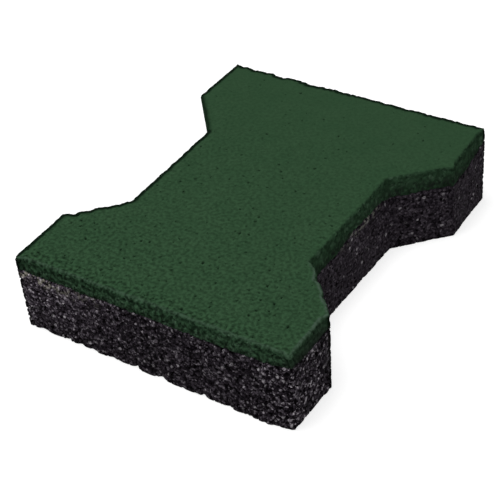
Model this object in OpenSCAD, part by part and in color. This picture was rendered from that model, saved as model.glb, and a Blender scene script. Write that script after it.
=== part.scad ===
// Interlocking dog-bone paver of bound rubber granulate, in millimetres.
// X runs across the heads, Y from head to head and Z up from the underside.
// Its sides narrow to a waist, so the heads of the next rows fit into the notches.

/* [Paver] */
// Length over both heads
length = 200; // [160:1:260]
// Width across each head
width = 160; // [120:1:200]
// Height of the base layer and the wear layer together
thickness = 45; // [25:1:80]

/* [Interlock] */
// Depth of the notch in each long side
notch_depth = 25; // [10:1:40]
// Length along the paver of each slanted side between a head and the waist
taper_run = 25; // [10:1:50]

/* [Layers] */
// Thickness of the dyed wear layer
wear_t = 8; // [6:0.5:15]

/* [Edges] */
// Radius of the upright corners of the heads
corner_r = 2; // [1:0.5:8]
// Radius of the rounded edge around the walking surface, kept under the corner radius
edge_r = 1; // [0.5:0.5:5]

/* [Hidden] */

// Flat steps around each upright corner, and up over the rounded edge
arc_steps = 6;
// The rounded edge leaves at least this radius on the walking surface's corners
least_r = 0.5;

round_r = min(edge_r, corner_r - least_r);
base_t = thickness - wear_t;
// Height of the wear layer's upright band, below its rounded edge
band_t = wear_t - round_r;

half_l = length / 2;
half_w = width / 2;
// The waist is as long as two heads' straight sides together, so that pavers nest
waist_half_l = (half_l - taper_run) / 2;
waist_half_w = half_w - notch_depth;
shoulder_y = waist_half_l + taper_run;

// Sharp corners of the outline, up its right side and back down its left side
right_side = [[half_w, -half_l], [half_w, -shoulder_y], [waist_half_w, -waist_half_l],
    [waist_half_w, waist_half_l], [half_w, shoulder_y], [half_w, half_l]];
left_side = [for (i = [len(right_side) - 1 : -1 : 0]) [-right_side[i].x, right_side[i].y]];
corners = concat(right_side, left_side);

function unit(v) = v / norm(v);
function left_of(v) = [-v.y, v.x];

// One corner of the outline moved in from both sides, as an arc where it points outward
function corner_points(i, inset) =
    let (
        last = len(corners) - 1,
        before = left_of(unit(corners[i] - corners[i > 0 ? i - 1 : last])),
        after = left_of(unit(corners[i < last ? i + 1 : 0] - corners[i])),
        inward = (before + after) / (1 + before * after),
        start = atan2(-before.y, -before.x),
        turn = atan2(cross(before, after), before * after)
    )
    turn < 0
        ? [corners[i] + inset * inward]
        : [for (step = [0 : arc_steps]) let (a = start + turn * step / arc_steps)
            corners[i] + corner_r * inward + (corner_r - inset) * [cos(a), sin(a)]];

function outline(inset) = [for (i = [0 : len(corners) - 1]) each corner_points(i, inset)];

// Outlines up over the rounded edge, as [inset, height above its foot]
levels = [for (step = [0 : arc_steps]) let (a = 90 * step / arc_steps)
    [round_r * (1 - cos(a)), round_r * sin(a)]];

// The top of the block with its rounded edge, as rings of points joined level to level.
// A ring's points pair up across X, so strips between the pairs close its two ends.
module cap() {
    count = len(outline(0));
    top = count * (len(levels) - 1);
    points = [for (level = levels, p = outline(level[0])) [p.x, p.y, level[1]]];
    sides = [for (ring = [0 : count : top - count], i = [0 : count - 1])
        let (next = (i + 1) % count)
        [ring + i, ring + count + i, ring + count + next, ring + next]];
    strips = [for (i = [0 : count / 2 - 2]) [i, i + 1, count - 2 - i, count - 1 - i]];
    surface = [for (strip = strips) [for (i = [3 : -1 : 0]) top + strip[i]]];
    polyhedron(points, concat(strips, surface, sides));
}

module wear_layer() {
    color([0.18, 0.28, 0.19])
        translate([0, 0, base_t]) {
            linear_extrude(band_t)
                polygon(outline(0));
            translate([0, 0, band_t])
                cap();
        }
}

module base_layer() {
    color([0.15, 0.13, 0.15])
        linear_extrude(base_t)
            polygon(outline(0));
}

wear_layer();
base_layer();
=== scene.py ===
import math

import bpy
import numpy as np
from mathutils import Matrix, Vector
from mathutils.geometry import delaunay_2d_cdt
from mathutils.kdtree import KDTree


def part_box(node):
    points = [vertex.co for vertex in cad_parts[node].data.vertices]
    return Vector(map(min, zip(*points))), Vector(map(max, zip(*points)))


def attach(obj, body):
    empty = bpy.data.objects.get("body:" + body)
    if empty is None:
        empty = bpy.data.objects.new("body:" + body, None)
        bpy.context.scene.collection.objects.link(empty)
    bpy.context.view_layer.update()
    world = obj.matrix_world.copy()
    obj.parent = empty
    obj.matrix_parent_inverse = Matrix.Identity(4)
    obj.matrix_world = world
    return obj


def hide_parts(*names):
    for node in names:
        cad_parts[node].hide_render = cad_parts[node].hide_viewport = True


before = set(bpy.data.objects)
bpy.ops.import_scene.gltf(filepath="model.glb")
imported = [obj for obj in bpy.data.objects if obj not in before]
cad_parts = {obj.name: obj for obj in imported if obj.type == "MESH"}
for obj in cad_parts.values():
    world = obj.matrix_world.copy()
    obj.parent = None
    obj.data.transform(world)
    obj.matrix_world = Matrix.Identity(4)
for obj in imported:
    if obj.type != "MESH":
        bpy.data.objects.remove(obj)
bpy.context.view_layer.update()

# Sizes are in millimetres up to the point where a mesh, texture, lamp or camera is made
MM = 0.001

base_low, base_high = (np.array(corner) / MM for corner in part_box("base_layer"))
_, wear_high = (np.array(corner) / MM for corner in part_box("wear_layer"))
left, near_end, _ = base_low
right, far_end, joint_z = base_high
top_z = wear_high[2]

# ---------------------------------------------------------------- sizes

# Spacing of the mesh around the sides, and up them
SIDE_STEP = 0.61
# Share of that spacing by which a point of the sides may stray
STRAY = 0.28
# Radius of the rounded edge around the walking surface, and of the worn lower edge
TOP_EDGE_R = 1.1
LOW_EDGE_R = 0.5
# Spacing of the points on the walking surface, the underside and the hidden joint
TOP_STEP = 0.82
UNDER_STEP = 1.7
JOINT_STEP = 9.0
# Shares of that spacing: how far a point may stray, and how far inside the outline it stays
FACE_STRAY = 0.3
FACE_MARGIN = 0.6
# Creases sharper than this stay sharp when the mesh is shaded
CREASE = math.radians(40)

# Each crumb is a solid bounded by flat facets: their number, how far they tilt from an even spread,
# and how far they lie from its middle as shares of its size
FACETS = 10
FACET_TILT = 0.3
FACET_REACH = (0.4, 0.72)
BASE_CRUMB = 1.45
WEAR_CRUMB = 1.3
# Greatest depth between the crumbs: down the base's sides, in the underside and down the wear layer's
BASE_DEPTH = 1.5
UNDER_DEPTH = 0.9
WEAR_DEPTH = 1.2
# Share of that depth left on the wear layer's sides, whose finer crumbs are packed closer
WEAR_RELIEF = 0.55
# Share of the depth left at the very foot of the sides, and the height at which all of it is
FOOT_RELIEF = 0.4
FOOT_RELIEF_Z = 2.4
# The near end is torn, fully within the first of these distances from its face and not beyond the second
TORN_END = (36, 55)
# Share of the relief left beyond it, where the crumbs lie flatter
FLATTER = 0.6
# The foot of the sides has painted shade near the floor: full up to the first of these heights, and none
# above the second
FOOT_SHADE = (0.4, 1.8)

# The walking surface has one pit at most in each square of this size
PIT_SQUARE = 5.2
PIT_SIDES = 7
# Least radius of a pit and how much larger it may be, and its depth as a share of its radius
PIT_R = 0.45
PIT_R_MORE = 0.75
PIT_DEPTH = 0.8
# A pit this deep gets the darkest painted shade
PIT_SHADE_DEPTH = 0.7
# Share of the squares with a pit at the far end, and how many more at the near end
FAR_PITS = 0.10
NEAR_PITS = 0.85
# Distance kept between a pit's middle and the outline, and to other points of the surface
PIT_MARGIN = 2.0
PIT_CLEAR = 1.5
# Depth and length of the walking surface's large and small waves
LARGE_WAVE = (0.045, 2.2)
SMALL_WAVE = (0.03, 1.1)

# The top's edge is scuffed and has a painted highlight on the sides that face this way, and painted shade on
# the others, over these widths
SCUFFED_AND_LIT = np.array([0.8, -0.55])
RIM_HIGHLIGHT_WIDTH = 1.0
RIM_SHADE_WIDTH = 2.0
# How far in the scuffed sides lean from the joint to the walking surface
WORN_BACK = 1.6
# How deep the top's edge is nicked, as shares, for a side that faces the far end this much
FACES_FAR = (0.5, 0.65, 0.9)
TOP_NICKS = (0.8, 1.9, 2.0)
# How deep the base's foot is nicked, as shares, at the near end and elsewhere
NEAR_NICKS = 1.0
OTHER_NICKS = 0.3
# Distance from a corner within which the edges are not nicked so deep, and the share left at the corner
CALM_CORNER = 5.0
CALM_SHARE = 0.1

# The joint sways around the sides, slowly and quickly: how far up or down, and over what length
SLOW_SWAY = (0.45, 9.0)
QUICK_SWAY = (0.60, 2.4)
# How far in the joint's crack lies, how much that varies, and over what length
CRACK = 0.75
CRACK_STRAY = 0.25
CRACK_SIZE = 2.0
# How far the joint rises to the near right-hand corner, and how near it
JOINT_RISE = 2.4
JOINT_RISE_SIZE = 8.0
# How far the joint dips along the right-hand side, at these distances from the near end
JOINT_DIP = (0.0, 3.5, 3.5, 1.0, 1.0, 3.9, 3.9, 0.0)
DIP_PLACE = (38, 60, 86, 98, 128, 138, 178, 197)

# A corner of the outline is given by its kind and by its side of the middle, across and along.
# How far the worn block strays at each corner, across and along, at the top and at the foot
UNEVEN = {
    ("head", -1, -1): ((0.4, 1.2), (-1.2, 0.7)),
    ("shoulder", -1, -1): ((-0.4, 2.3), (0.0, 0.0)),
    ("waist", -1, -1): ((0.1, 3.3), (0.0, 0.0)),
    ("waist", -1, 1): ((-0.4, -4.0), (0.3, 0.0)),
    ("shoulder", -1, 1): ((-0.1, -0.2), (0.8, 0.8)),
    ("head", -1, 1): ((0.2, 0.0), (0.0, 0.0)),
    ("head", 1, 1): ((-1.2, 0.6), (-0.7, -1.8)),
    ("shoulder", 1, 1): ((-0.2, -1.0), (-0.3, -0.7)),
    ("waist", 1, 1): ((0.4, 0.4), (-0.1, -0.7)),
    ("waist", 1, -1): ((-0.5, 3.1), (-1.5, 0.3)),
    ("shoulder", 1, -1): ((0.5, 0.0), (-0.2, -2.6)),
    ("head", 1, -1): ((0.7, 4.1), (-1.2, 0.8)),
}
# One corner's foot is worn back this far, from these distances before and after it
WORN_CORNER = ("head", 1, -1)
WORN_FOOT = 2.3
WORN_SPAN = (12, 6)
# The upright corners that get a line of painted shade, and how far around from them the line's middle lies
SHADED_CORNERS = {("head", -1, -1): 0.7, ("shoulder", 1, -1): -0.7, ("head", 1, 1): -0.7}
# The painted shade is full within the first of these distances, and gone beyond the second
SHADE_LINE = (0.6, 2.1)
# Share of the even outline's rounding that is left at the upright corners of the far end, and how near
# the sharp corner that rounding lies
FAR_ROUND = 0.35
ROUNDING = 5.0


# ---------------------------------------------------------------- outline

def cad_outline(node):
    """The node's outline in plan as corners, anticlockwise. Seen from its middle no corner hides another."""
    plan = np.array([vertex.co[:2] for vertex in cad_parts[node].data.vertices]) / MM
    plan = np.unique(plan.round(3), axis=0)
    return plan[np.argsort(np.arctan2(plan[:, 1], plan[:, 0]))]


def sharpen_far_end(plan):
    """Moves the rounded corners of the far end out towards the sharp ones."""
    furthest = np.abs(plan).max(axis=0)
    gap = furthest - np.abs(plan)
    beside_corner = gap.sum(axis=1) < ROUNDING
    rounded = beside_corner & (plan[:, 1] > 0)
    plan[rounded] = (np.sign(plan) * (furthest - FAR_ROUND * gap))[rounded]
    return plan


class Outline:
    """A closed outline that gives its place and outward direction at any distance around it."""

    # Distance over which a corner's change of direction is spread
    EASE = 1.2
    # Corners closer than this to a line are on it
    ON_LINE = 0.1

    def __init__(self, corners):
        self.closed = np.vstack([corners, corners[:1]])
        lengths = np.linalg.norm(np.diff(self.closed, axis=0), axis=1)
        self.marks = np.concatenate([[0], np.cumsum(lengths)])
        self.around = self.marks[-1]
        turns = self.find_turns(corners)
        in_order = sorted(turns, key=turns.get)
        self.turns = np.array([turns[corner] for corner in in_order])
        self.shifts = np.array([np.ravel(UNEVEN[corner]) for corner in in_order])
        self.convex = [mark for (kind, *_), mark in turns.items() if kind != "waist"]
        self.dark = [turns[corner] + beside for corner, beside in SHADED_CORNERS.items()]
        self.worn = turns[WORN_CORNER]

    def find_turns(self, corners):
        """The distance around the outline to each corner that UNEVEN names."""
        far = np.abs(corners)
        waist = far[far[:, 0] < far[:, 0].min() + self.ON_LINE].max(axis=0)
        shoulder = far[far[:, 0] > far[:, 0].max() - self.ON_LINE].min(axis=0)
        places = {"head": far.max(axis=0), "shoulder": shoulder, "waist": waist}
        turns = {}
        for kind, *side in UNEVEN:
            nearest = np.linalg.norm(corners - places[kind] * side, axis=1).argmin()
            turns[(kind, *side)] = self.marks[nearest]
        return turns

    def place(self, distance):
        distance = np.mod(distance, self.around)
        across = np.interp(distance, self.marks, self.closed[:, 0])
        along = np.interp(distance, self.marks, self.closed[:, 1])
        return np.stack([across, along], axis=-1)

    def shift(self, distance, height):
        """How far the worn block is moved at each distance and height."""
        top_x, top_y, foot_x, foot_y = (np.interp(distance, self.turns, shift, period=self.around)
                                        for shift in self.shifts.T)
        before, after = WORN_SPAN
        worn = (self.worn - before, self.worn, self.worn + after)
        foot_y = foot_y + np.interp(np.mod(distance, self.around), worn, (0, WORN_FOOT, 0))
        share = height / top_z
        across = share * top_x + (1 - share) * foot_x
        along = share * top_y + (1 - share) * foot_y
        return np.stack([across, along], axis=-1)

    def from_marks(self, distance, marks):
        """How far each distance is, around the outline, from the nearest of some marks."""
        gap = np.abs(distance[:, None] - marks)
        return np.minimum(gap, self.around - gap).min(axis=1)

    def outward(self, distance):
        ahead = self.place(distance + self.EASE) - self.place(distance - self.EASE)
        outward = np.stack([ahead[..., 1], -ahead[..., 0]], axis=-1)
        return outward / np.linalg.norm(outward, axis=-1, keepdims=True)


# ---------------------------------------------------------------- relief

def smooth_noise(points, size, seed):
    """Smooth noise from -1 to 1 at points, with features about size across."""
    cells = 64
    table = np.random.default_rng(seed).uniform(-1, 1, (cells, cells, cells))
    scaled = points / size
    cell = np.floor(scaled).astype(int)
    share = scaled - cell
    share = share * share * (3 - 2 * share)
    total = np.zeros(len(points))
    for corner in np.ndindex(2, 2, 2):
        at = (cell + corner) % cells
        weight = np.where(corner, share, 1 - share).prod(axis=1)
        total += weight * table[at[:, 0], at[:, 1], at[:, 2]]
    return total


class Crumbs:
    """Angular rubber crumbs, packed at random, that fill the block's box."""

    def __init__(self, size, seed):
        self.size = size
        self.low = base_low - 2 * size
        counts = np.ceil((wear_high + 2 * size - self.low) / size).astype(int)
        rng = np.random.default_rng(seed)
        cells = np.stack(np.meshgrid(*map(np.arange, counts), indexing="ij"), axis=-1)
        self.middles = self.low + (cells + rng.random(cells.shape)) * size
        facets = self.spread() + rng.normal(0, FACET_TILT, (*counts, FACETS, 3))
        self.facets = facets / np.linalg.norm(facets, axis=-1, keepdims=True)
        self.reach = rng.uniform(*FACET_REACH, (*counts, FACETS)) * size
        self.tones = rng.random(tuple(counts))

    @staticmethod
    def spread():
        """Directions spread evenly over a ball."""
        step = np.arange(FACETS) + 0.5
        height = 1 - 2 * step / FACETS
        turn = step * math.pi * (3 - math.sqrt(5))
        radius = np.sqrt(1 - height ** 2)
        return np.stack([radius * np.cos(turn), radius * np.sin(turn), height], axis=-1)

    def surface(self, points, outward, bury, deepest):
        """How far out the crumbs reach at each point, from -deepest to 0, and the tone of the crumb there.

        Crumbs whose middle is less than bury below the surface are missing, so the rest stand proud.
        """
        height = np.full(len(points), -deepest)
        tone = np.zeros(len(points))
        home = np.floor((points - self.low) / self.size).astype(int)
        for shift in np.ndindex(3, 3, 3):
            at = tuple((home + shift - 1).T)
            offset = points - self.middles[at]
            facets = self.facets[at]
            gap = self.reach[at] - np.einsum("nfk,nk->nf", facets, offset)
            slope = np.einsum("nfk,nk->nf", facets, outward)
            with np.errstate(divide="ignore"):
                cut = gap / slope
            leaves = np.where(slope > 0, cut, np.inf).min(axis=1)
            enters = np.where(slope < 0, cut, -np.inf).max(axis=1)
            buried = np.einsum("nk,nk->n", offset, outward) > bury
            proud = buried & (enters < leaves) & (leaves > height)
            height[proud] = leaves[proud]
            tone[proud] = self.tones[at][proud]
        return np.minimum(height, 0), tone


# ---------------------------------------------------------------- meshes

class Skin:
    """A band of quads around the block: rows of points, from its lower ring to its upper ring."""

    def __init__(self, outline, inset, height, lean, seed):
        """inset, height and lean hold one value for each row and column.

        lean is 0 where the skin faces outward, a quarter turn where it faces up and minus that where down.
        """
        self.rows, self.columns = inset.shape
        rng = np.random.default_rng(seed)
        stray = rng.uniform(-STRAY, STRAY, inset.shape) * SIDE_STEP
        stray[[0, -1]] = 0
        distance = np.arange(self.columns) * outline.around / self.columns + stray
        plan = outline.outward(distance)
        spot = outline.place(distance) + outline.shift(distance, height) - inset[..., None] * plan
        self.points = np.concatenate([spot, height[..., None]], axis=-1).reshape(-1, 3)
        sideways = plan * np.cos(lean)[..., None]
        self.outward = np.concatenate([sideways, np.sin(lean)[..., None]], axis=-1).reshape(-1, 3)

    def quads(self):
        row, column = np.divmod(np.arange((self.rows - 1) * self.columns), self.columns)
        after = (column + 1) % self.columns
        below = row * self.columns
        above = below + self.columns
        return np.stack([below + column, below + after, above + after, above + column], axis=-1)

    def ring(self, row):
        start = (row % self.rows) * self.columns
        return np.arange(start, start + self.columns)


def flat(plan):
    """Points in plan as points at height 0."""
    return np.column_stack([plan, np.zeros(len(plan))])


def tree_of(plan):
    """A search tree that finds the nearest of some points in plan."""
    tree = KDTree(len(plan))
    for index, spot in enumerate(plan):
        tree.insert((*spot, 0), index)
    tree.balance()
    return tree


def inside(ring, plan, margin):
    """Which points of plan lie within the ring, by at least margin, seen from its middle."""
    angle = np.arctan2(ring[:, 1], ring[:, 0])
    order = np.argsort(angle)
    limit = np.interp(np.arctan2(plan[:, 1], plan[:, 0]), angle[order],
                      np.linalg.norm(ring, axis=1)[order], period=2 * math.pi)
    return np.linalg.norm(plan, axis=1) < limit - margin


def scatter(ring, step, seed):
    """Points at random about step apart that fill the ring."""
    rng = np.random.default_rng(seed)
    low = ring.min(axis=0)
    columns, rows = np.ceil((ring.max(axis=0) - low) / step).astype(int) + 1
    row, column = np.divmod(np.arange(rows * columns), columns)
    lattice = np.stack([column + 0.5 * (row % 2), row * 1.0], axis=-1)
    plan = low + (lattice + rng.uniform(-FACE_STRAY, FACE_STRAY, lattice.shape)) * step
    return plan[inside(ring, plan, FACE_MARGIN * step)]


def fill(ring, plan):
    """Triangles that fill a ring of points, with more points inside it, as indices into both together."""
    places = [Vector(point) for point in np.vstack([ring, plan])]
    _, _, faces, source, _, within = delaunay_2d_cdt(places, [], [list(range(len(ring)))], 0, 1e-5, True)
    # The triangles also fill the notches, and those lie within no given face
    return [[source[corner][0] for corner in face] for face, given in zip(faces, within) if given]


class Body:
    """Points, faces and the values that its material reads, gathered up to make one mesh."""

    def __init__(self, skin, points):
        self.skin = skin
        self.points = points
        self.faces = skin.quads().tolist()
        self.values = {}

    def cap(self, row, plan, height, up):
        """Closes one end of the skin with a face of small triangles, with inner points at plan and height."""
        ring = self.skin.ring(row)
        start = len(self.points)
        index = np.concatenate([ring, np.arange(start, start + len(plan))])
        order = 1 if up else -1
        for face in fill(self.points[ring, :2], plan):
            self.faces.append(index[face][::order].tolist())
        self.points = np.vstack([self.points, np.column_stack([plan, height])])

    def close_joint(self, row, up):
        """Closes the end that lies hidden between the layers with a level face."""
        plan = scatter(self.points[self.skin.ring(row), :2], JOINT_STEP, seed=42)
        self.cap(row, plan, np.full(len(plan), joint_z), up)

    def build(self, name, material):
        """Makes the mesh. Points past the end of a list of values have none."""
        mesh = bpy.data.meshes.new(name)
        mesh.from_pydata((self.points * MM).tolist(), [], self.faces)
        for label, given in self.values.items():
            filled = np.zeros(len(self.points))
            filled[:len(given)] = given
            mesh.attributes.new(label, "FLOAT", "POINT").data.foreach_set("value", filled)
        mesh.materials.append(material)
        mesh.set_sharp_from_angle(angle=CREASE)
        piece = bpy.data.objects.new(name, mesh)
        bpy.context.scene.collection.objects.link(piece)
        return piece


# ---------------------------------------------------------------- sides of the two layers

outline = Outline(sharpen_far_end(cad_outline("base_layer")))
columns = round(outline.around / SIDE_STEP)
# How far around the outline each column of the skins stands, and its place and direction in plan
column_at = np.arange(columns) * outline.around / columns
column_plan = outline.place(column_at)
column_outward = outline.outward(column_at)


def joint_ring():
    """The ragged line around the sides where the layers meet: how high it runs and how far in."""
    place = flat(column_plan)
    slow, slow_size = SLOW_SWAY
    quick, quick_size = QUICK_SWAY
    sway = slow * smooth_noise(place, slow_size, seed=21) + quick * smooth_noise(place, quick_size, seed=22)
    on_right = column_plan[:, 0] > 0
    at_near_end = column_plan[:, 1] < 0
    from_corner = np.linalg.norm(np.abs(column_plan) - base_high[:2], axis=1)
    rise = JOINT_RISE * np.exp(-(from_corner / JOINT_RISE_SIZE) ** 2) * (on_right & at_near_end)
    dip = np.interp(column_plan[:, 1] - near_end, DIP_PLACE, JOINT_DIP) * on_right
    inset = CRACK + CRACK_STRAY * smooth_noise(place, CRACK_SIZE, seed=23)
    return joint_z + sway + rise - dip, inset


def calm():
    """A share for each column, least at the convex corners, which would cross themselves."""
    return np.clip(outline.from_marks(column_at, outline.convex) / CALM_CORNER, CALM_SHARE, 1)


def ragged(deepest, size, seed, rarity=2):
    """How far in each column strays: mostly little, with nicks that are deepest in and size across."""
    return deepest * calm() * (0.5 + 0.5 * smooth_noise(flat(column_plan), size, seed)) ** rarity


def corner_shade(skin):
    """A value for each of the skin's points, up to 1 in the lines of painted shade at some upright corners.
    """
    share = np.interp(outline.from_marks(column_at, outline.dark), SHADE_LINE, (1, 0))
    return np.tile(share, skin.rows)


def moulded(points):
    """Keeps points within the block's box, where its mould pressed the crumbs flat."""
    return np.clip(points, base_low, wear_high)


def rows_for(length):
    return max(2, round(length / SIDE_STEP))


def column_grid(values):
    """One value for each row, repeated for every column."""
    return np.repeat(np.asarray(values)[:, None], columns, axis=1)


def base_skin():
    """The black layer's skin: up round the worn lower edge, then straight up to the joint."""
    ring_z, ring_inset = joint_ring()
    turn = np.linspace(-math.pi / 2, 0, rows_for(LOW_EDGE_R * math.pi / 2) + 1)[:-1]
    climb = np.linspace(0, 1, rows_for(joint_z - LOW_EDGE_R) + 1)
    lean = column_grid(np.concatenate([turn, np.zeros(len(climb))]))
    foot = column_grid(LOW_EDGE_R * (1 + np.sin(turn)))
    side = LOW_EDGE_R + climb[:, None] * (ring_z - LOW_EDGE_R)
    height = np.vstack([foot, side])
    inset = column_grid(np.concatenate([LOW_EDGE_R * (1 - np.cos(turn)), np.zeros(len(climb))]))
    lowness = 1 - height / joint_z
    faces_near = column_outward[:, 1] < -0.9
    nicks = np.where(faces_near, NEAR_NICKS, OTHER_NICKS)
    inset += nicks * lowness ** 3 * ragged(deepest=1.8, size=5.0, seed=26, rarity=4)
    inset += nicks * lowness ** 8 * ragged(deepest=1.0, size=2.5, seed=27, rarity=3)
    inset[-1] = ring_inset
    return Skin(outline, inset, height, lean, seed=31)


def wear_skin():
    """The green layer's skin: from the joint up its band, then round the edge of the walking surface."""
    ring_z, ring_inset = joint_ring()
    band_z = top_z - TOP_EDGE_R
    climb = np.linspace(0, 1, rows_for(band_z - joint_z) + 1)[:-1]
    turn = np.linspace(0, math.pi / 2, rows_for(TOP_EDGE_R * math.pi / 2) + 1)
    lean = column_grid(np.concatenate([np.zeros(len(climb)), turn]))
    side = ring_z + climb[:, None] * (band_z - ring_z)
    edge = column_grid(band_z + TOP_EDGE_R * np.sin(turn))
    height = np.vstack([side, edge])
    inset = column_grid(np.concatenate([np.zeros(len(climb)), TOP_EDGE_R * (1 - np.cos(turn))]))
    nicks = np.interp(column_outward[:, 1], FACES_FAR, TOP_NICKS)
    worn = WORN_BACK * calm() * np.interp(column_outward @ SCUFFED_AND_LIT, (0.3, 0.5), (0, 1))
    up_band = np.clip(height - joint_z, 0, None) / (top_z - joint_z)
    up_edge = np.clip(height - band_z, 0, None) / TOP_EDGE_R
    inset += up_band * (worn + nicks * ragged(deepest=0.8, size=4.2, seed=24))
    inset += up_edge * nicks * ragged(deepest=0.6, size=2.0, seed=25)
    inset[0] = ring_inset
    return Skin(outline, inset, height, lean, seed=32)


# ---------------------------------------------------------------- base layer

def base_layer(material):
    """The black layer: crumbs down its sides and underside, and a level hidden joint."""
    crumbs = Crumbs(BASE_CRUMB, seed=11)
    skin = base_skin()
    relief, tone = crumbs.surface(skin.points, skin.outward, bury=-0.1, deepest=BASE_DEPTH)
    relief[skin.ring(-1)] = 0
    relief *= np.interp(skin.points[:, 2], (0, FOOT_RELIEF_Z), (FOOT_RELIEF, 1))
    relief *= np.interp(skin.points[:, 1] - near_end, TORN_END, (1, FLATTER))
    body = Body(skin, moulded(skin.points + relief[:, None] * skin.outward))

    under = flat(scatter(body.points[skin.ring(0), :2], UNDER_STEP, seed=41))
    down = np.tile([0.0, 0.0, -1.0], (len(under), 1))
    dents, under_tone = crumbs.surface(under, down, bury=0.1, deepest=UNDER_DEPTH)
    body.cap(0, under[:, :2], -dents, up=False)
    body.close_joint(-1, up=True)

    # How deep each point lies between the crumbs, which the material paints as shade
    body.values["hollow_shade"] = np.concatenate([-relief / BASE_DEPTH, -dents / UNDER_DEPTH])
    body.values["crumb"] = np.concatenate([tone, under_tone])
    # Where the material paints lines of shade on some upright corners
    body.values["corner"] = corner_shade(skin)
    # Where the material paints shade at the foot, near the floor
    body.values["foot"] = np.interp(skin.points[:, 2], FOOT_SHADE, (1, 0))
    return body.build("base_layer_crumb", material)


# ---------------------------------------------------------------- wear layer

def pit_places(ring):
    """Middles and radii of the pits in the walking surface: fewer towards the far end."""
    rng = np.random.default_rng(51)
    low = ring.min(axis=0)
    counts = np.ceil((ring.max(axis=0) - low) / PIT_SQUARE).astype(int)
    column, row = (axis.ravel() for axis in np.meshgrid(*map(np.arange, counts)))
    middle = low + (np.stack([column, row], axis=-1) + rng.uniform(0.2, 0.8, (len(row), 2))) * PIT_SQUARE
    radius = PIT_R + PIT_R_MORE * rng.random(len(row)) ** 2
    nearness = (far_end - middle[:, 1]) / (far_end - near_end)
    pitted = rng.random(len(row)) < FAR_PITS + NEAR_PITS * nearness
    kept = inside(ring, middle, PIT_MARGIN) & pitted
    return middle[kept], radius[kept]


def pit_rims(middle, radius):
    """A ring of points around each pit, which is longer one way than the other."""
    rng = np.random.default_rng(52)
    shape = (len(radius), PIT_SIDES)
    turn = (np.arange(PIT_SIDES) + rng.uniform(-0.25, 0.25, shape)) * 2 * math.pi / PIT_SIDES
    slant = rng.uniform(0, math.pi, (len(radius), 1))
    reach = radius[:, None] * rng.uniform(0.8, 1.2, shape) * (1 + 0.4 * np.cos(2 * (turn - slant)))
    rim = middle[:, None] + np.stack([np.cos(turn), np.sin(turn)], axis=-1) * reach[..., None]
    return rim.reshape(-1, 2)


def clear_of(plan, middle, margin):
    """Which points of plan lie further than margin from their nearest pit."""
    pits = tree_of(middle)
    return np.array([pits.find((*spot, 0))[2] for spot in plan]) > margin


def waves(plan):
    """How far the walking surface dips in its waves."""
    depth = np.zeros(len(plan))
    for (deepest, size), seed in ((LARGE_WAVE, 54), (SMALL_WAVE, 55)):
        depth += deepest * (1 + smooth_noise(flat(plan), size, seed))
    return depth


def rim_light_and_shade(skin, points, plan):
    """Which way each point near the top's edge faces, from -1 on the sides with painted shade to 1 on the
    scuffed ones with a painted highlight, and how near it is to the edge, for the skin's points and then for
    the inner ones at plan.
    """
    sideways = skin.outward[:, :2] / np.linalg.norm(skin.outward[:, :2] + 1e-9, axis=1, keepdims=True)
    facing = np.interp(sideways @ SCUFFED_AND_LIT, (-0.5, -0.15, 0.15), (-1, -0.3, 1))
    facing[skin.ring(-1)] = facing[skin.ring(-2)]
    upturned = np.interp(skin.outward[:, 2], (0.3, 0.8), (0, 1))
    ring = skin.ring(-1)
    edge = tree_of(points[ring, :2])
    nearest = [edge.find((*spot, 0)) for spot in plan]
    inner = facing[ring[[index for _, index, _ in nearest]]]
    distance = np.array([distance for _, _, distance in nearest])
    width = np.where(inner < 0, RIM_SHADE_WIDTH, RIM_HIGHLIGHT_WIDTH)
    return np.concatenate([facing, inner]), np.concatenate([upturned, np.clip(1 - distance / width, 0, 1)])


def top_points(ring):
    """Points that fill the walking surface, and how deep in a pit each lies."""
    middle, radius = pit_places(ring)
    between = scatter(ring, TOP_STEP, seed=53)
    between = between[clear_of(between, middle, PIT_CLEAR)]
    plan = np.vstack([between, pit_rims(middle, radius), middle])
    depth = np.zeros(len(plan))
    depth[-len(middle):] = PIT_DEPTH * radius
    return plan, depth


def wear_layer(material):
    """The green layer: finer crumbs down its sides, and waves and pits in the walking surface."""
    skin = wear_skin()
    up = np.clip(skin.outward[:, 2], 0, 1)
    crumbs = Crumbs(WEAR_CRUMB, seed=12)
    relief, tone = crumbs.surface(skin.points, skin.outward, bury=0.2, deepest=WEAR_DEPTH)
    relief *= WEAR_RELIEF * (1 - up ** 2)
    relief[skin.ring(0)] = 0
    body = Body(skin, moulded(skin.points + relief[:, None] * skin.outward))

    plan, depth = top_points(body.points[skin.ring(-1), :2])
    facing, rim = rim_light_and_shade(skin, body.points, plan)
    body.cap(-1, plan, top_z - waves(plan) - depth, up=True)
    body.close_joint(0, up=False)

    # How deep each point lies between the crumbs or in a pit, which the material paints as shade
    body.values["hollow_shade"] = np.concatenate([-relief / WEAR_DEPTH, depth / PIT_SHADE_DEPTH])
    body.values["crumb"] = tone
    # Where the material paints lines of shade on some upright corners
    body.values["corner"] = corner_shade(skin) * (1 - up)
    body.values["flank"] = 1 - up
    # Where the material paints shade on the top's edge, and where it paints a highlight
    body.values["painted_rim_shade"] = rim * np.clip(-facing, 0, 1)
    body.values["painted_rim_highlight"] = rim * np.clip(facing, 0, 1)
    return body.build("wear_layer_crumb", material)


# ---------------------------------------------------------------- materials

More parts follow.
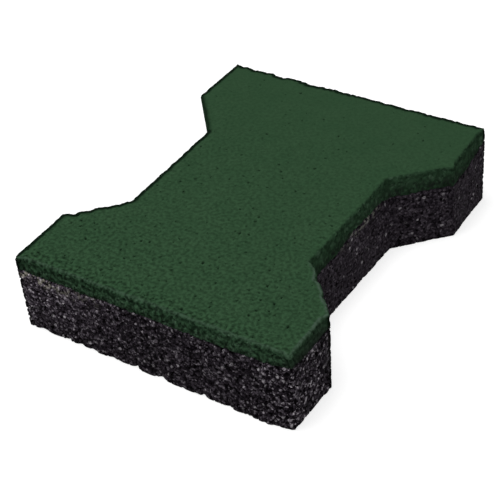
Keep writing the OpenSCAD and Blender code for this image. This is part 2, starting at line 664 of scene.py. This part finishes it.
class Nodes:
    """The nodes of a material or world. Each method adds some and returns the output to go on with."""

    def __init__(self, holder):
        holder.use_nodes = True
        self.tree = holder.node_tree
        self.tree.nodes.clear()

    def give(self, socket, given):
        """Joins an output to the socket, or sets any other value on it."""
        if isinstance(given, bpy.types.NodeSocket):
            self.tree.links.new(given, socket)
        elif isinstance(given, tuple) and len(given) == 3:
            socket.default_value = (*given, 1)
        else:
            socket.default_value = given

    def add(self, kind, settings=None, **inputs):
        node = self.tree.nodes.new(kind)
        for name, setting in (settings or {}).items():
            setattr(node, name, setting)
        for name, given in inputs.items():
            self.give(node.inputs[name.replace("_", " ")], given)
        return node

    def attribute(self, name):
        return self.add("ShaderNodeAttribute", {"attribute_name": name}).outputs["Fac"]

    def ramp(self, factor, *stops):
        """A colour for each value of factor, from stops of (place, colour)."""
        node = self.add("ShaderNodeValToRGB", Fac=factor)
        elements = node.color_ramp.elements
        while len(elements) < len(stops):
            elements.new(0.5)
        for element, (place, colour) in zip(elements, stops):
            element.position = place
            element.color = (*colour, 1)
        return node.outputs["Color"]

    def blend(self, factor, first, second, how="MIX"):
        """first where factor is 0 and second where it is 1, or the two combined in another way."""
        node = self.add("ShaderNodeMix", {"data_type": "RGBA", "blend_type": how}, Factor=factor)
        first_colour, second_colour, result = node.inputs[6], node.inputs[7], node.outputs[2]
        self.give(first_colour, first)
        self.give(second_colour, second)
        return result

    def shaded(self, colour, share):
        """The colour times a share, which may pass 1."""
        return self.blend(1.0, colour, share, "MULTIPLY")

    def spread(self, value, low, high, to_low=0, to_high=1):
        """value from low to high, moved to the range from to_low to to_high and kept there."""
        return self.add("ShaderNodeMapRange", Value=value, From_Min=low, From_Max=high,
                        To_Min=to_low, To_Max=to_high).outputs["Result"]

    def sums(self, how, first, *others):
        """Takes the values together one by one with a Math node."""
        total = first
        for other in others:
            node = self.add("ShaderNodeMath", {"operation": how})
            self.give(node.inputs[0], total)
            self.give(node.inputs[1], other)
            total = node.outputs[0]
        return total

    def times(self, *values):
        return self.sums("MULTIPLY", *values)

    def plus(self, *values):
        return self.sums("ADD", *values)

    def most(self, *values):
        return self.sums("MAXIMUM", *values)


class Look(Nodes):
    """The nodes of a rubber, with textures and places in the block's own millimetres."""

    IOR = 1.1

    def __init__(self, name):
        self.material = bpy.data.materials.new(name)
        super().__init__(self.material)
        self.where = self.add("ShaderNodeTexCoord").outputs["Object"]
        self.place = self.add("ShaderNodeSeparateXYZ", Vector=self.where)
        self.hollow_shade = self.attribute("hollow_shade")
        self.crumb = self.attribute("crumb")

    def noise(self, size, detail=2.0):
        """Noise from 0 to 1 with features about size across."""
        scale = 1 / (size * MM)
        node = self.add("ShaderNodeTexNoise", Vector=self.where, Scale=scale, Detail=detail)
        return self.spread(node.outputs["Fac"], 0.3, 0.7)

    def cells(self, size):
        """Angular cells about size across: three random values for each, and the distance from its middle."""
        node = self.add("ShaderNodeTexVoronoi", Vector=self.where, Scale=1 / (size * MM))
        values = self.add("ShaderNodeSeparateColor", Color=node.outputs["Color"])
        return (*(values.outputs[name] for name in ("Red", "Green", "Blue")), node.outputs["Distance"])

    def along(self, axis, low, high, to_low=0, to_high=1):
        """A value that follows the place along one axis."""
        return self.spread(self.place.outputs[axis], low * MM, high * MM, to_low, to_high)

    def torn_corner(self, first_x, last_x, most=1):
        """A value that is most at the near end's right-hand side, and grows to it from first_x to last_x."""
        return self.times(self.along("X", first_x, last_x, 0, most),
                          self.along("Y", near_end + 30, near_end + 45, 1, 0))

    def upright_shade_lines(self, colour, dark):
        """The colour with lines of painted shade on some upright corners."""
        return self.blend(self.times(self.attribute("corner"), 0.95), colour, dark)

    def finish(self, colour, roughness, gloss, bumps, bump_height):
        bump = self.add("ShaderNodeBump", Height=bumps, Strength=0.5, Distance=bump_height * MM)
        shader = self.add("ShaderNodeBsdfPrincipled", Base_Color=colour, Roughness=roughness, IOR=self.IOR,
                          Specular_IOR_Level=gloss, Normal=bump.outputs["Normal"])
        self.add("ShaderNodeOutputMaterial", Surface=shader.outputs["BSDF"])
        return self.material


# ---------------------------------------------------------------- base rubber

def crumb_colour(look, chip, grain, torn):
    """Black crumbs of many tones, with the most contrast where broken ones lie open at the near end."""
    start, end = TORN_END
    middle_tone = 0.56
    contrast = look.plus(look.along("Y", near_end + start, near_end + end, 1, 0.55), look.times(torn, 0.35))
    tone = look.plus(look.times(chip, 0.5), look.times(look.crumb, 0.3), look.times(grain, 0.2))
    tone = look.plus(look.times(look.sums("SUBTRACT", tone, middle_tone), contrast), middle_tone)
    return look.ramp(tone,
                     (0.20, (0.0024, 0.0019, 0.0026)),
                     (0.35, (0.0105, 0.0084, 0.0111)),
                     (0.50, (0.0240, 0.0196, 0.0252)),
                     (0.65, (0.0560, 0.0475, 0.0580)),
                     (0.78, (0.1250, 0.1120, 0.1280)),
                     (0.90, (0.3200, 0.2950, 0.3200)))


def odd_crumbs(look, colour):
    """Adds single pale crumbs, and black holes of painted shade where one has come out."""
    _, green, blue, distance = look.cells(2.2)
    pale = look.times(look.spread(green, 0.93, 0.97), look.spread(distance, 0.30, 0.55, 1, 0))
    hole_shade = look.times(look.spread(blue, 0.84, 0.90, 0, 0.9), look.spread(distance, 0.35, 0.60, 1, 0))
    colour = look.blend(pale, colour, (0.300, 0.280, 0.300))
    return look.blend(hole_shade, colour, (0.0010, 0.0008, 0.0010))


def near_left_brightening(look):
    """A value that is most high up at the left of the near end."""
    return look.times(look.along("X", left + 8, left + 75, 1, 0),
                      look.along("Z", 5, joint_z - 8, 0.1, 1),
                      look.along("Y", near_end + 5, near_end + 14, 1, 0))


def beige_crumbs(look, colour, brighter_left):
    """Adds beige crumbs just below the joint where the near left is brighter."""
    beige = look.times(look.along("Z", joint_z - 8, joint_z - 3),
                       look.spread(look.noise(3.5), 0.50, 0.62, 0, 0.8),
                       look.most(look.sums("SUBTRACT", brighter_left, 0.25), 0.0))
    return look.blend(beige, colour, (0.200, 0.190, 0.155))


def pale_seam(look, colour):
    """Adds a broken pale seam below the joint of the right-hand waist."""
    seam = look.times(look.along("Z", joint_z - 6.0, joint_z - 2.5),
                      look.along("X", right - 22, right - 20, 1, 0),
                      look.along("X", right - 50, right - 40),
                      look.along("Y", near_end + 85, near_end + 100),
                      look.along("Y", near_end + 122, near_end + 130, 1, 0),
                      look.spread(look.noise(2.5), 0.50, 0.66))
    return look.blend(seam, colour, (0.160, 0.158, 0.142))


def base_shade(look, brighter_left, torn):
    """How bright the crumbs are: more high up at the near left and where torn, less towards the near right
    shoulder, and darker with painted shade at the foot.
    """
    cloudy = look.spread(look.noise(8), 0, 1, 0.92, 1.53)
    shoulder = look.most(look.along("X", right - 3.5, right - 2, 1, 0),
                         look.along("Y", near_end + 20, near_end + 35, 1, 0.6),
                         look.along("Y", near_end + 38, near_end + 42))
    # Painted shade at the foot of the sides, near the floor
    foot = look.spread(look.attribute("foot"), 0, 1, 1, 0.15)
    return look.times(look.plus(cloudy, look.times(brighter_left, 2.1), look.times(torn, 0.5)), shoulder, foot)


def base_rubber():
    """Black recycled crumbs with a violet cast, painted shade in the gaps and hollows between them, and a few
    pale or beige ones.
    """
    look = Look("base_rubber")
    grain = look.noise(0.9, detail=1.0)
    chip, _, _, from_chip = look.cells(1.25)
    torn = look.torn_corner(right - 22, right - 2)
    brighter_left = near_left_brightening(look)
    colour = crumb_colour(look, chip, grain, torn)
    colour = odd_crumbs(look, colour)
    colour = beige_crumbs(look, colour, brighter_left)
    colour = pale_seam(look, colour)
    colour = look.shaded(colour, base_shade(look, brighter_left, torn))
    # Painted shade in the gaps between the crumbs, and in the hollows by their depth
    gap = look.spread(from_chip, 0.58, 0.80, 0, 0.9)
    colour = look.blend(gap, colour, (0.0020, 0.0016, 0.0021))
    colour = look.blend(look.spread(look.hollow_shade, 0.3, 0.8, 0, 0.9), colour, (0.001, 0.0008, 0.001))
    # Lines of painted shade on some upright corners
    colour = look.upright_shade_lines(colour, (0.0006, 0.0005, 0.0006))
    roughness = look.spread(look.crumb, 0, 1, 0.45, 0.75)
    return look.finish(colour, roughness, gloss=0.12, bumps=grain, bump_height=0.25)


# ---------------------------------------------------------------- wear rubber

def band_colour(look, chip):
    """The colour of the band around the sides, with black crumbs from below mixed in."""
    side = look.ramp(chip,
                     (0.0, (0.0250, 0.0560, 0.0290)),
                     (0.8, (0.0370, 0.0820, 0.0430)),
                     (1.0, (0.0600, 0.1150, 0.0680)))
    black = look.times(look.along("Z", joint_z, joint_z + 5, 0.85, 0), look.spread(look.crumb, 0.1, 0.9))
    torn = look.times(look.torn_corner(right - 8, right - 3, most=0.9),
                      look.along("Z", joint_z + 1, top_z - 1, 1, 0.3))
    side = look.blend(look.most(black, torn), side, (0.0160, 0.0200, 0.0165))
    # The band is darker beyond the near head, and at the left end of the near face
    far = look.along("Y", near_end + 40, near_end + 60, 1, 0.8)
    left_end = look.most(look.along("X", left + 3, left + 14, 0.65, 1),
                         look.along("Y", near_end + 3, near_end + 6))
    side = look.shaded(side, look.times(far, left_end))
    # Dark spots lie open just below the edge
    spots = look.times(look.along("Z", top_z - 3.4, top_z - 2.2, 0, 0.45),
                       look.spread(look.noise(2.2), 0.35, 0.75, 0.15, 1))
    return look.blend(spots, side, (0.0060, 0.0150, 0.0075))


def edge_highlight(look, colour, mottle):
    """Paints a pale highlight on the scuffed edge, most around the right-hand side of the near end."""
    pale = look.times(look.along("X", right - 30, right - 20, 0, 0.55),
                      look.along("Y", near_end + 6, near_end + 18))
    pale = look.times(look.plus(pale, 0.45),
                      look.along("Y", near_end + 62, near_end + 66, 1, 0),
                      look.spread(mottle, 0.1, 0.7, 0.3, 1),
                      look.spread(look.attribute("painted_rim_highlight"), 0.2, 1))
    return look.blend(pale, colour, (0.0520, 0.0850, 0.0600))


def wear_rubber():
    """Matt green rubber: even on top with dark pits, whose depth is painted as shade, and darker and more
    open down the sides.
    """
    look = Look("wear_rubber")
    dark_spot, chip, _, from_chip = look.cells(2.0)
    mottle = look.noise(1.8, detail=2.5)
    top = look.blend(look.noise(12, detail=3.0), (0.0242, 0.0580, 0.0278), (0.0272, 0.0622, 0.0302))
    colour = look.blend(look.spread(look.attribute("flank"), 0.02, 0.5), top, band_colour(look, chip))
    # Full at the near end, where the grain lies open, and low at the smoother far end
    open_grain = look.plus(look.along("Y", near_end, far_end, 0.9, 0.15),
                           look.along("Y", near_end, near_end + 15, 0.75, 0))
    light = look.plus(look.times(look.spread(mottle, 0.15, 0.80, -0.42, 0.27), open_grain),
                      look.along("Y", near_end + 2, near_end + 14, 0.84, 1))
    colour = look.shaded(colour, light)
    dark = look.times(look.spread(dark_spot, 0.90, 0.97, 0, 0.6),
                      look.spread(from_chip, 0.25, 0.5, 1, 0), open_grain)
    colour = look.blend(dark, colour, (0.003, 0.010, 0.004))
    # A painted highlight on the top's edge where it is scuffed
    colour = edge_highlight(look, colour, mottle)
    # Painted shade on the top's edge on the other sides
    painted_rim_shade = look.spread(look.attribute("painted_rim_shade"), 0.0, 0.4, 0, 0.9)
    colour = look.blend(painted_rim_shade, colour, (0.0015, 0.0050, 0.0025))
    # Painted shade in the hollows between the crumbs and in the pits, by their depth
    colour = look.blend(look.spread(look.hollow_shade, 0.25, 0.9, 0, 0.9), colour, (0.003, 0.008, 0.004))
    # Lines of painted shade on some upright corners
    colour = look.upright_shade_lines(colour, (0.0008, 0.0020, 0.0010))
    roughness = look.spread(look.crumb, 0, 1, 0.75, 0.9)
    return look.finish(colour, roughness, gloss=0.09, bumps=mottle, bump_height=0.16)


# ---------------------------------------------------------------- stage

WHITE = (1, 1, 1)
centre = Vector((0, 0, top_z / 2)) * MM

# The camera stands this far from what it looks at, turned by these angles
CAMERA_AIM = Vector((4.2, -17.5, 20.7)) * MM
CAMERA_AWAY = 645.7 * MM
CAMERA_ROUND = math.radians(38.10)
CAMERA_UP = math.radians(39.06)
CAMERA_ROLL = math.radians(-7.20)
CAMERA_LENS = 91.0


def make_camera():
    back = Vector((math.sin(CAMERA_ROUND) * math.cos(CAMERA_UP),
                   -math.cos(CAMERA_ROUND) * math.cos(CAMERA_UP),
                   math.sin(CAMERA_UP)))
    level = Vector((0, 0, 1)).cross(back).normalized()
    upright = back.cross(level)
    across = math.cos(CAMERA_ROLL) * level + math.sin(CAMERA_ROLL) * upright
    up = back.cross(across)
    camera = bpy.data.objects.new("camera", bpy.data.cameras.new("camera"))
    camera.data.lens = CAMERA_LENS
    camera.data.sensor_width = 36
    camera.data.clip_start = 10 * MM
    turned = Matrix((across, up, back)).transposed().to_4x4()
    camera.matrix_world = Matrix.Translation(CAMERA_AIM + back * CAMERA_AWAY) @ turned
    bpy.context.scene.collection.objects.link(camera)
    bpy.context.scene.camera = camera


def softbox(name, place, size, power):
    """A square soft lamp that faces the middle of the block. Its place and size are in metres."""
    lamp = bpy.data.objects.new(name, bpy.data.lights.new(name, "AREA"))
    lamp.data.size = size
    lamp.data.energy = power
    lamp.location = centre + Vector(place)
    lamp.rotation_euler = (centre - lamp.location).to_track_quat("-Z", "Y").to_euler()
    bpy.context.scene.collection.objects.link(lamp)


def seen_directly(nodes):
    """1 for what the camera sees, itself or through gloss or glass, and 0 for light on its way."""
    path = nodes.add("ShaderNodeLightPath")
    return nodes.plus(path.outputs["Is Camera Ray"], path.outputs["Is Glossy Ray"],
                      path.outputs["Is Transmission Ray"])


def make_world(ambient):
    """White where the camera sees it, and a dim even light on the block."""
    world = bpy.data.worlds.new("studio")
    nodes = Nodes(world)
    strength = nodes.spread(seen_directly(nodes), 0, 1, ambient, 1)
    light = nodes.add("ShaderNodeBackground", Color=WHITE, Strength=strength)
    nodes.add("ShaderNodeOutputWorld", Surface=light.outputs["Background"])
    bpy.context.scene.world = world


def floor_material():
    """White to the camera, apart from the block's shadow, and a dull grey to the light."""
    material = bpy.data.materials.new("floor")
    nodes = Nodes(material)
    seen = seen_directly(nodes)
    colour = nodes.blend(seen, (0.25, 0.25, 0.25), (0.5, 0.5, 0.5))
    matt = nodes.add("ShaderNodeBsdfDiffuse", Color=colour)
    glow = nodes.add("ShaderNodeEmission", Strength=nodes.times(seen, 0.7))
    both = nodes.add("ShaderNodeAddShader")
    nodes.give(both.inputs[0], matt.outputs["BSDF"])
    nodes.give(both.inputs[1], glow.outputs["Emission"])
    nodes.add("ShaderNodeOutputMaterial", Surface=both.outputs["Shader"])
    return material


def make_floor():
    """A wide floor in metres, just below the block's underside."""
    far = 6.0
    mesh = bpy.data.meshes.new("floor")
    mesh.from_pydata([(-far, -far, 0), (far, -far, 0), (far, far, 0), (-far, far, 0)], [], [(0, 1, 2, 3)])
    mesh.materials.append(floor_material())
    floor = bpy.data.objects.new("floor", mesh)
    floor.location.z = -0.05 * MM
    bpy.context.scene.collection.objects.link(floor)


make_camera()
make_world(ambient=0.22)
softbox("key", place=(-0.15, -0.1, 1.1), size=0.7, power=10.6)
softbox("fill", place=(0.7, -0.7, 0.45), size=0.6, power=2.2)
make_floor()

base = base_layer(base_rubber())
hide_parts("base_layer")
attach(base, "root")

wear = wear_layer(wear_rubber())
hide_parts("wear_layer")
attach(wear, "root")

bpy.context.scene.view_settings.view_transform = "Standard"
